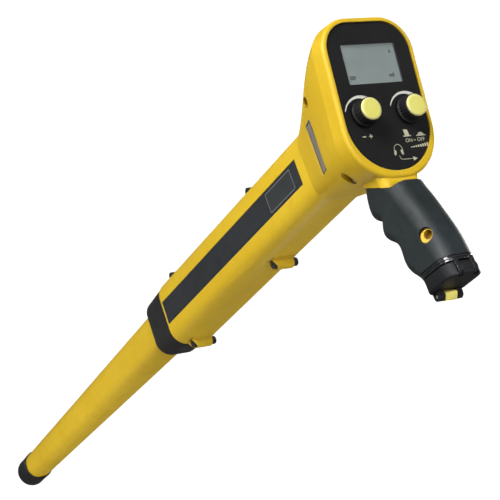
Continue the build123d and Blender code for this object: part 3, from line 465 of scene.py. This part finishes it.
def ring_slab(bm, outline_out, outline_in, place, n0, n1):
    k = len(outline_out)
    rows = []
    for pts, n in ((outline_out, n0), (outline_out, n1), (outline_in, n1), (outline_in, n0)):
        rows.append([bm.verts.new(place(u, v, n)) for u, v in pts])
    for r in range(4):
        a, b = rows[r], rows[(r + 1) % 4]
        for i in range(k):
            j = (i + 1) % k
            bm.faces.new((a[i], a[j], b[j], b[i]))


def round_rect(u, v, w, h, r, steps=5):
    pts = []
    for cx, cy, a0 in ((w / 2 - r, h / 2 - r, 0), (-w / 2 + r, h / 2 - r, 90), (-w / 2 + r, -h / 2 + r, 180), (w / 2 - r, -h / 2 + r, 270)):
        for i in range(steps + 1):
            a = math.radians(a0 + 90 * i / steps)
            pts.append((u + cx + r * math.cos(a), v + cy + r * math.sin(a)))
    return pts


bm = bmesh.new()
ring_slab(bm, round_rect(1.1, 884.3, 20.8, 53.5, 1.0), round_rect(1.1, 884.3, 19.6, 52.3, 0.6), on_left, -0.02, 0.05)
add_piece("patch_frame", bm, mats["ink_grey_light"])


def on_plate(u, v, n):
    """Row-frame point from millimetres on the side plate: along it, up it, above it."""
    return Vector((-0.0394605, -0.002, 0.9805787)) + Vector((-0.2622 * v - 0.965 * n, u, 0.965 * v - 0.2622 * n)) * 0.001


# Thin dark band round the edge of the side plate.
bm = bmesh.new()
ring_slab(bm, round_rect(0, 0, 51.4, 13.4, 0.5), round_rect(0, 0, 48.6, 10.6, 0.3), on_plate, -0.02, 0.05)
add_piece("plate_frame", bm, mats["ink_dark"])

# ------------------------------------------------------------------ floor, light
bm = bmesh.new()
bmesh.ops.create_grid(bm, x_segments=8, y_segments=8, size=15.0)
mesh = bpy.data.meshes.new("floor")
bm.to_mesh(mesh)
bm.free()
floor = bpy.data.objects.new("floor", mesh)
scene.collection.objects.link(floor)
t = Tree("floor_white")
c = t.mix(t.ramp(t.noise(2.0), 0.4, 0.6), (0.17, 0.17, 0.17), (0.19, 0.19, 0.19))
t.bsdf.inputs["Emission Color"].default_value = (1, 1, 1, 1)
t.bsdf.inputs["Emission Strength"].default_value = 0.96
mesh.materials.append(t.finish(c, t.ramp(t.noise(5.0), 0.3, 0.7, 0.8, 0.9)))
# pale backdrop all round, far off
bm = bmesh.new()
bmesh.ops.create_uvsphere(bm, u_segments=48, v_segments=24, radius=14.0)
bmesh.ops.delete(bm, geom=[v for v in bm.verts if v.co.z < -1.0], context="VERTS")
bmesh.ops.reverse_faces(bm, faces=bm.faces)
mesh = bpy.data.meshes.new("backdrop")
bm.to_mesh(mesh)
bm.free()
backdrop = bpy.data.objects.new("backdrop", mesh)
scene.collection.objects.link(backdrop)
mesh.materials.append(floor.data.materials[0])
for o in (floor, backdrop):
    o.visible_glossy = False
    o.visible_diffuse = False


def area(name, at, target, size, power, color=(1, 1, 1)):
    d = bpy.data.lights.new(name, "AREA")
    d.shape = "DISK"
    d.size = size
    d.energy = power
    d.color = color
    o = bpy.data.objects.new(name, d)
    scene.collection.objects.link(o)
    o.location = at
    o.rotation_euler = (Vector(target) - Vector(at)).to_track_quat("-Z", "Y").to_euler()
    return o


mid = Vector((0, -0.02, 0.8585))
area("key", mid + Vector((-0.62, 0.50, 0.66)) * 2.6, mid, 1.2, 60.0)
area("top", mid + Vector((-0.30, -0.22, 1.0)) * 2.4, mid, 1.2, 30.0)

area("side", mid + Vector((-1.0, 0.66, -0.02)) * 2.4, mid, 1.2, 25.0)
fill = area("fill", Vector((-0.44, -0.47, 0.14)), Vector((0, 0, 0.22)), 0.6, 1.05)
fill.data.spread = math.radians(100)
fill.visible_glossy = False
area("right", mid + Vector((1.0, 0.10, -0.25)) * 2.4, mid, 1.4, 62.0)
back = area("back", Vector((0.55, -1.30, 0.10)), Vector((0.0, -0.03, 0.98)), 0.9, 7.0)
back.visible_glossy = False
under = area("under", Vector((0.12, -0.95, 0.0)), Vector((0.0, -0.06, 1.03)), 0.4, 0.13)
under.data.spread = math.radians(20)
under.visible_glossy = False
flank = area("flank", Vector((-1.5, 0.35, 0.70)), Vector((0.0, 0.03, 1.03)), 0.5, 0.14)
flank.data.spread = math.radians(24)
flank.visible_glossy = False
rear = area("rear", Vector((-0.18, -0.50, 1.65)), Vector((0, -0.195, 1.035)), 0.15, 0.018)
rear.data.spread = math.radians(12)

world = bpy.data.worlds.new("studio")
world.use_nodes = True
bg = next(n for n in world.node_tree.nodes if n.type == "BACKGROUND")
bg.inputs["Color"].default_value = (1, 1, 1, 1)
bg.inputs["Strength"].default_value = 0.10
scene.world = world
scene.view_settings.view_transform = "Standard"
scene.view_settings.look = "None"
